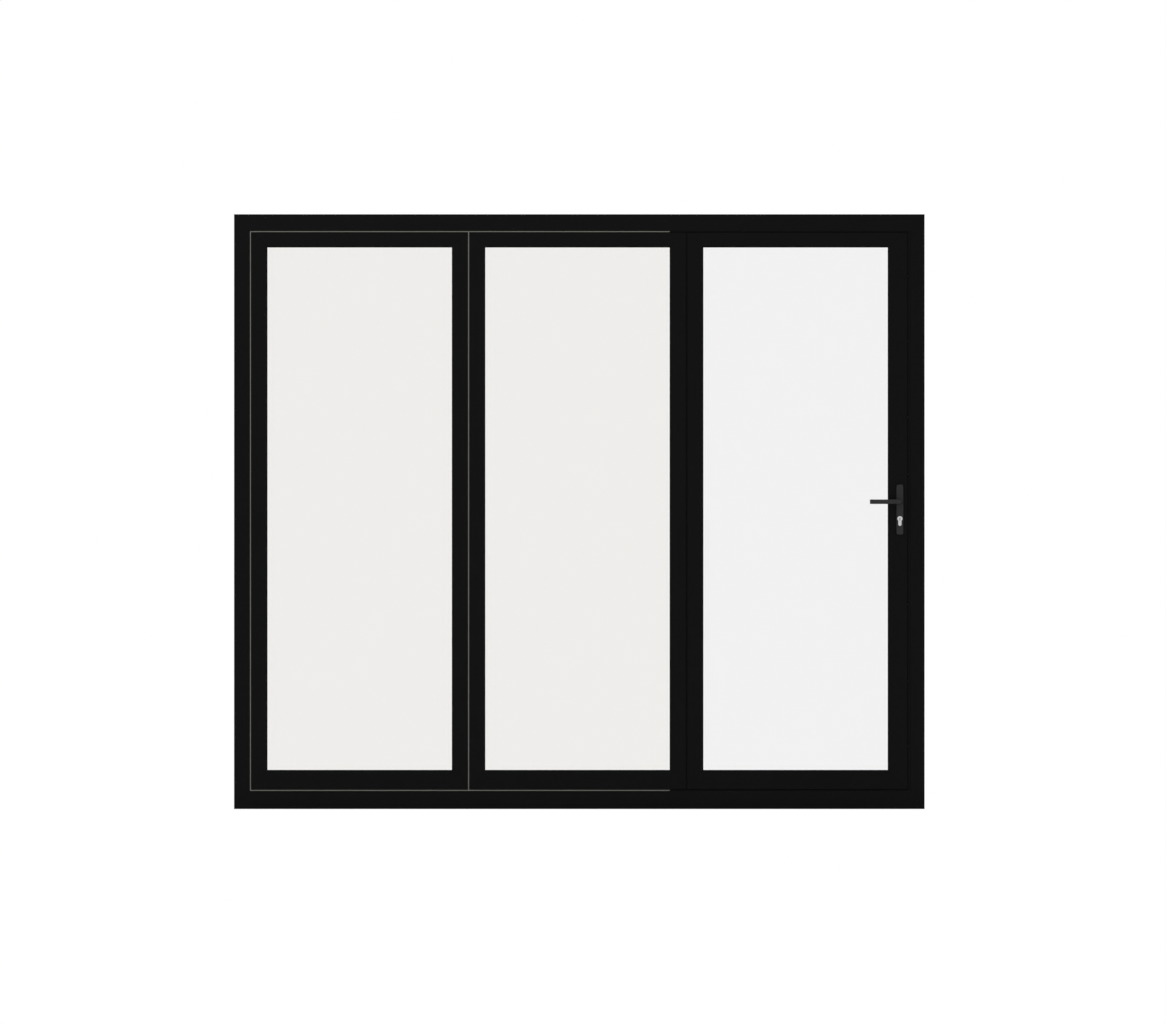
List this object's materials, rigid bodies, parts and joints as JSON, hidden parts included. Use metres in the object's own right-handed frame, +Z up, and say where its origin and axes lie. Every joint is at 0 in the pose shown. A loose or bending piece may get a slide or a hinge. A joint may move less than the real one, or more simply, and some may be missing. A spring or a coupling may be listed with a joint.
{
  "type": "folding patio door",
  "caption": "Black aluminium folding patio door with tall double glazed leaves, of which the right one is a hinged access leaf with a lever handle and key cylinder.",
  "frame": {"origin": "middle of the sill's underside, at half the frame's depth", "axes": "+X to the right as seen from outside, +Y from the outside face to the room, +Z up"},
  "size_m": [2.438, 0.154, 2.1],
  "materials": {
    "frame_black": "black powder coat, matt",
    "pale_seal": "grey seal",
    "black_rubber": "black gasket",
    "clear_glass": "clear",
    "spacer_grey": "dark grey",
    "hardware_black": "black, satin",
    "guide_plastic": "black nylon",
    "steel": "satin stainless",
    "nickel": "satin nickel"
  },
  "bodies": {
    "frame": {"left_jamb": "frame_black", "head": "frame_black", "right_jamb": "frame_black", "sill": "frame_black", "folding_leaf_seal": "pale_seal", "black_seals": "black_rubber", "fixing_caps": "guide_plastic", "first_leaf_left_stile": "frame_black", "first_leaf_top_rail": "frame_black", "first_leaf_right_stile": "frame_black", "first_leaf_bottom_rail": "frame_black", "first_leaf_side_beads": "frame_black", "first_leaf_end_beads": "frame_black", "first_leaf_glass": "clear_glass", "first_leaf_spacer": "spacer_grey", "first_leaf_gaskets": "black_rubber", "second_leaf_left_stile": "frame_black", "second_leaf_top_rail": "frame_black", "second_leaf_right_stile": "frame_black", "second_leaf_bottom_rail": "frame_black", "second_leaf_side_beads": "frame_black", "second_leaf_end_beads": "frame_black", "second_leaf_glass": "clear_glass", "second_leaf_spacer": "spacer_grey", "second_leaf_gaskets": "black_rubber", "jamb_hinge_frame_flags": "hardware_black", "jamb_hinge_leaf_flags": "hardware_black", "access_hinge_fixed_flags": "hardware_black", "hinge_pins": "hardware_black", "shoot_bolt_handles": "hardware_black", "track_guides": "guide_plastic", "lock_keep": "steel"},
    "access_leaf": {"access_leaf_left_stile": "frame_black", "access_leaf_top_rail": "frame_black", "access_leaf_right_stile": "frame_black", "access_leaf_bottom_rail": "frame_black", "access_leaf_side_beads": "frame_black", "access_leaf_end_beads": "frame_black", "access_leaf_glass": "clear_glass", "access_leaf_spacer": "spacer_grey", "access_leaf_gaskets": "black_rubber", "access_hinge_moving_flags": "hardware_black", "outside_plate": "hardware_black", "inside_plate": "hardware_black", "key_cylinder": "nickel", "lock_faceplate": "steel"},
    "lever_handle": {"outside_lever": "hardware_black", "inside_lever": "hardware_black", "spindle": "steel"}
  },
  "joints": [
    {"name": "access_leaf_swing", "type": "hinge", "parent": "frame", "child": "access_leaf", "pos_m": [0.3785, 0.06, 1.05225], "axis": [0, 0, 1], "range_deg": [0, 180]},
    {"name": "lever_turn", "type": "hinge", "parent": "access_leaf", "child": "lever_handle", "pos_m": [1.132, 0, 1.085], "axis": [0, -1, 0], "range_deg": [-45, 40], "stiffness_Nm_per_rad": 4}
  ]
}
